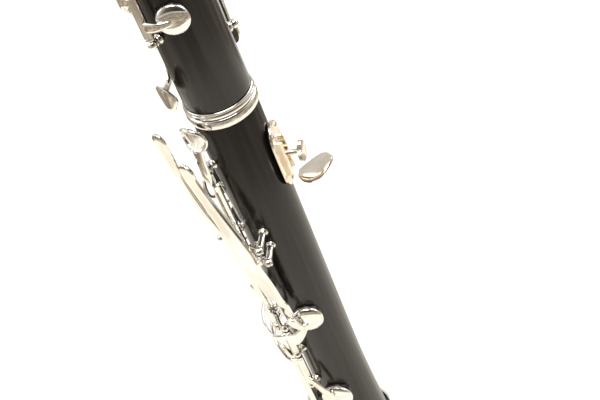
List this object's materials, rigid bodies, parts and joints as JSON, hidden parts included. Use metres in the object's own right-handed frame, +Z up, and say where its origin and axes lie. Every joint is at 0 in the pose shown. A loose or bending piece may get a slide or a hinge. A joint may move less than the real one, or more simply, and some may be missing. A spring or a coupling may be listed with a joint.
{
  "type": "clarinet",
  "caption": "Wooden soprano clarinet with silver-plated keywork, standing on its bell, every key on its own rod, with tenon joints, mouthpiece, reed and adjustable thumb rest.",
  "frame": {"origin": "centre of the flat foot of the bell, at the bottom of the bounding box", "axes": "+Z up the bore to the tip of the mouthpiece; the finger holes face -Y and the thumb side faces +Y; +X is the player's left"},
  "size_m": [0.0798, 0.0798, 0.672],
  "materials": {
    "grenadilla": "oiled satin",
    "ebonite": "polished",
    "silver_plate": "polished silver plate",
    "steel_rod": "turned and plated",
    "cork": "matt cork",
    "cane": "shaved cane"
  },
  "bodies": {
    "lower_joint_body": {"lower_joint": "grenadilla", "lower_joint_ring": "silver_plate", "lower_joint_cork": "cork", "thumb_rest_plate": "silver_plate", "lower_ring_hinge": "steel_rod", "sliver_hinge": "steel_rod", "left_f_hinge": "steel_rod", "left_e_hinge": "steel_rod", "left_a_flat_hinge": "steel_rod", "little_finger_hinge": "steel_rod", "e_hinge": "steel_rod", "f_hinge": "steel_rod"},
    "bell_body": {"bell": "grenadilla", "bell_socket_ring": "silver_plate", "bell_rim_ring": "silver_plate"},
    "upper_joint_body": {"upper_joint": "grenadilla", "upper_joint_ring": "silver_plate", "upper_joint_top_cork": "cork", "upper_joint_bottom_cork": "cork", "register_tube": "silver_plate", "thumb_tube": "silver_plate", "side_key_guide": "silver_plate", "register_hinge": "steel_rod", "throat_hinge": "steel_rod", "side_hinge": "steel_rod", "left_side_hinge": "steel_rod", "thumb_hinge": "steel_rod", "upper_ring_hinge": "steel_rod"},
    "barrel_body": {"barrel": "grenadilla", "barrel_top_ring": "silver_plate", "barrel_bottom_ring": "silver_plate"},
    "mouthpiece_body": {"mouthpiece": "ebonite", "mouthpiece_cork": "cork", "reed": "cane", "ligature": "silver_plate"},
    "ligature_screw_upper_body": {"ligature_screw_upper": "silver_plate"},
    "ligature_screw_lower_body": {"ligature_screw_lower": "silver_plate"},
    "thumb_rest_hook_body": {"thumb_rest_hook": "silver_plate"},
    "thumb_rest_screw_body": {"thumb_rest_screw": "silver_plate"},
    "register_key_body": {"register_key": "silver_plate"},
    "throat_a_key_body": {"throat_a_key": "silver_plate"},
    "throat_g_sharp_key_body": {"throat_g_sharp_key": "silver_plate"},
    "side_key_1_body": {"side_key_1": "silver_plate"},
    "side_key_2_body": {"side_key_2": "silver_plate"},
    "side_key_3_body": {"side_key_3": "silver_plate"},
    "side_key_4_body": {"side_key_4": "silver_plate"},
    "cross_key_body": {"cross_key": "silver_plate"},
    "c_sharp_key_body": {"c_sharp_key": "silver_plate"},
    "thumb_ring_key_body": {"thumb_ring_key": "silver_plate"},
    "first_ring_key_body": {"first_ring_key": "silver_plate"},
    "upper_bridge_key_body": {"upper_bridge_key": "silver_plate"},
    "lower_ring_key_body": {"lower_ring_key": "silver_plate"},
    "sliver_key_body": {"sliver_key": "silver_plate"},
    "a_flat_key_body": {"a_flat_key": "silver_plate"},
    "f_sharp_key_body": {"f_sharp_key": "silver_plate"},
    "e_key_body": {"e_key": "silver_plate"},
    "f_key_body": {"f_key": "silver_plate"},
    "left_f_lever_body": {"left_f_lever": "silver_plate"},
    "left_e_lever_body": {"left_e_lever": "silver_plate"},
    "left_a_flat_lever_body": {"left_a_flat_lever": "silver_plate"}
  },
  "joints": [
    {"name": "upper_joint_slide", "type": "slide", "parent": "lower_joint_body", "child": "upper_joint_body", "axis": [0, 0, 1], "range_m": [0, 0.002]},
    {"name": "barrel_tuning_slide", "type": "slide", "parent": "upper_joint_body", "child": "barrel_body", "axis": [0, 0, 1], "range_m": [0, 0.003]},
    {"name": "mouthpiece_twist", "type": "hinge", "parent": "barrel_body", "child": "mouthpiece_body", "pos_m": [0, 0, 0.591], "axis": [0, 0, 1], "continuous": true},
    {"name": "bell_slide", "type": "slide", "parent": "lower_joint_body", "child": "bell_body", "axis": [0, 0, -1], "range_m": [0, 0.003]},
    {"name": "ligature_screw_upper_turn", "type": "hinge", "parent": "mouthpiece_body", "child": "ligature_screw_upper_body", "pos_m": [0, 0.0163, 0.628], "axis": [-1, 0, 0], "continuous": true},
    {"name": "ligature_screw_lower_turn", "type": "hinge", "parent": "mouthpiece_body", "child": "ligature_screw_lower_body", "pos_m": [0, 0.0163, 0.616], "axis": [-1, 0, 0], "continuous": true},
    {"name": "thumb_rest_slide", "type": "slide", "parent": "lower_joint_body", "child": "thumb_rest_hook_body", "axis": [0, 0, 1], "range_m": [0, 0.008]},
    {"name": "thumb_rest_screw_turn", "type": "hinge", "parent": "thumb_rest_hook_body", "child": "thumb_rest_screw_body", "pos_m": [0, 0.018, 0.301], "axis": [0, 1, 0], "continuous": true},
    {"name": "register_key_pivot", "type": "hinge", "parent": "upper_joint_body", "child": "register_key_body", "pos_m": [0, 0.0186, 0.499], "axis": [-1, 0, 0], "range_deg": [0, 9], "stiffness_Nm_per_rad": 0.02, "springref_deg": -22.92},
    {"name": "throat_a_key_pivot", "type": "hinge", "parent": "upper_joint_body", "child": "throat_a_key_body", "pos_m": [-0.00327, -0.01851, 0.494], "axis": [0.9848, -0.1736, 0], "range_deg": [0, 9], "stiffness_Nm_per_rad": 0.02, "springref_deg": -22.92},
    {"name": "throat_g_sharp_key_pivot", "type": "hinge", "parent": "upper_joint_body", "child": "throat_g_sharp_key_body", "pos_m": [-0.00327, -0.01851, 0.494], "axis": [0.9848, -0.1736, 0], "range_deg": [0, 9], "stiffness_Nm_per_rad": 0.02, "springref_deg": -22.92},
    {"name": "side_key_1_pivot", "type": "hinge", "parent": "upper_joint_body", "child": "side_key_1_body", "pos_m": [-0.01893, 0.00166, 0.428], "axis": [-0.0872, -0.9962, 0], "range_deg": [0, 3], "stiffness_Nm_per_rad": 0.02, "springref_deg": -22.92},
    {"name": "side_key_2_pivot", "type": "hinge", "parent": "upper_joint_body", "child": "side_key_2_body", "pos_m": [-0.01893, 0.00166, 0.428], "axis": [-0.0872, -0.9962, 0], "range_deg": [0, 3], "stiffness_Nm_per_rad": 0.02, "springref_deg": -22.92},
    {"name": "side_key_3_pivot", "type": "hinge", "parent": "upper_joint_body", "child": "side_key_3_body", "pos_m": [-0.01893, 0.00166, 0.428], "axis": [-0.0872, -0.9962, 0], "range_deg": [0, 3], "stiffness_Nm_per_rad": 0.02, "springref_deg": -22.92},
    {"name": "side_key_4_pivot", "type": "hinge", "parent": "upper_joint_body", "child": "side_key_4_body", "pos_m": [-0.01893, 0.00166, 0.428], "axis": [-0.0872, -0.9962, 0], "range_deg": [0, 3], "stiffness_Nm_per_rad": 0.02, "springref_deg": -22.92},
    {"name": "cross_key_pivot", "type": "hinge", "parent": "upper_joint_body", "child": "cross_key_body", "pos_m": [0.01633, -0.00869, 0.376], "axis": [0, 0, -1], "range_deg": [0, 8], "stiffness_Nm_per_rad": 0.02, "springref_deg": -22.92},
    {"name": "c_sharp_key_pivot", "type": "hinge", "parent": "upper_joint_body", "child": "c_sharp_key_body", "pos_m": [0.01633, -0.00869, 0.376], "axis": [0, 0, -1], "range_deg": [0, 9], "stiffness_Nm_per_rad": 0.02, "springref_deg": -22.92},
    {"name": "thumb_ring_key_pivot", "type": "hinge", "parent": "upper_joint_body", "child": "thumb_ring_key_body", "pos_m": [0.01418, 0.01108, 0.446], "axis": [0, 0, 1], "range_deg": [0, 6.5], "stiffness_Nm_per_rad": 0.02, "springref_deg": -22.92},
    {"name": "first_ring_key_pivot", "type": "hinge", "parent": "upper_joint_body", "child": "first_ring_key_body", "pos_m": [-0.01273, -0.01273, 0.35], "axis": [0, 0, 1], "range_deg": [0, 6.5], "stiffness_Nm_per_rad": 0.02, "springref_deg": -22.92},
    {"name": "upper_bridge_key_pivot", "type": "hinge", "parent": "upper_joint_body", "child": "upper_bridge_key_body", "pos_m": [-0.01273, -0.01273, 0.35], "axis": [0, 0, 1], "range_deg": [0, 6.5], "stiffness_Nm_per_rad": 0.02, "springref_deg": -22.92},
    {"name": "lower_ring_key_pivot", "type": "hinge", "parent": "lower_joint_body", "child": "lower_ring_key_body", "pos_m": [-0.01273, -0.01273, 0.2295], "axis": [0, 0, 1], "range_deg": [0, 6.5], "stiffness_Nm_per_rad": 0.02, "springref_deg": -22.92},
    {"name": "sliver_key_pivot", "type": "hinge", "parent": "lower_joint_body", "child": "sliver_key_body", "pos_m": [-0.01769, -0.00575, 0.2435], "axis": [0, 0, 1], "range_deg": [0, 6], "stiffness_Nm_per_rad": 0.02, "springref_deg": -22.92},
    {"name": "a_flat_key_pivot", "type": "hinge", "parent": "lower_joint_body", "child": "a_flat_key_body", "pos_m": [0.01672, -0.01004, 0.1595], "axis": [0, 0, -1], "range_deg": [0, 10], "stiffness_Nm_per_rad": 0.02, "springref_deg": -22.92},
    {"name": "f_sharp_key_pivot", "type": "hinge", "parent": "lower_joint_body", "child": "f_sharp_key_body", "pos_m": [0.01672, -0.01004, 0.1595], "axis": [0, 0, -1], "range_deg": [0, 5], "stiffness_Nm_per_rad": 0.02, "springref_deg": -22.92},
    {"name": "e_key_pivot", "type": "hinge", "parent": "lower_joint_body", "child": "e_key_body", "pos_m": [0.01253, -0.01494, 0.1245], "axis": [0, 0, -1], "range_deg": [0, 10], "stiffness_Nm_per_rad": 0.02, "springref_deg": -22.92},
    {"name": "f_key_pivot", "type": "hinge", "parent": "lower_joint_body", "child": "f_key_body", "pos_m": [-0.01842, 0.00259, 0.165], "axis": [0, 0, 1], "range_deg": [0, 5], "stiffness_Nm_per_rad": 0.02, "springref_deg": -22.92},
    {"name": "left_f_lever_pivot", "type": "hinge", "parent": "lower_joint_body", "child": "left_f_lever_body", "pos_m": [0.01446, -0.01171, 0.232], "axis": [0, 0, -1], "range_deg": [0, 10], "stiffness_Nm_per_rad": 0.02, "springref_deg": -22.92},
    {"name": "left_e_lever_pivot", "type": "hinge", "parent": "lower_joint_body", "child": "left_e_lever_body", "pos_m": [0.01974, -0.0114, 0.271], "axis": [-0.5, -0.866, 0], "range_deg": [0, 1.6], "stiffness_Nm_per_rad": 0.02, "springref_deg": -22.92},
    {"name": "left_a_flat_lever_pivot", "type": "hinge", "parent": "lower_joint_body", "child": "left_a_flat_lever_body", "pos_m": [0.01871, -0.0108, 0.2625], "axis": [-0.5, -0.866, 0], "range_deg": [0, 1.7], "stiffness_Nm_per_rad": 0.02, "springref_deg": -22.92}
  ],
  "couplings": [
    {"joint": "left_f_lever_pivot", "follows": "f_key_pivot", "ratio": 1.999},
    {"joint": "left_e_lever_pivot", "follows": "e_key_pivot", "ratio": 0.159},
    {"joint": "left_a_flat_lever_pivot", "follows": "a_flat_key_pivot", "ratio": 0.169}
  ]
}
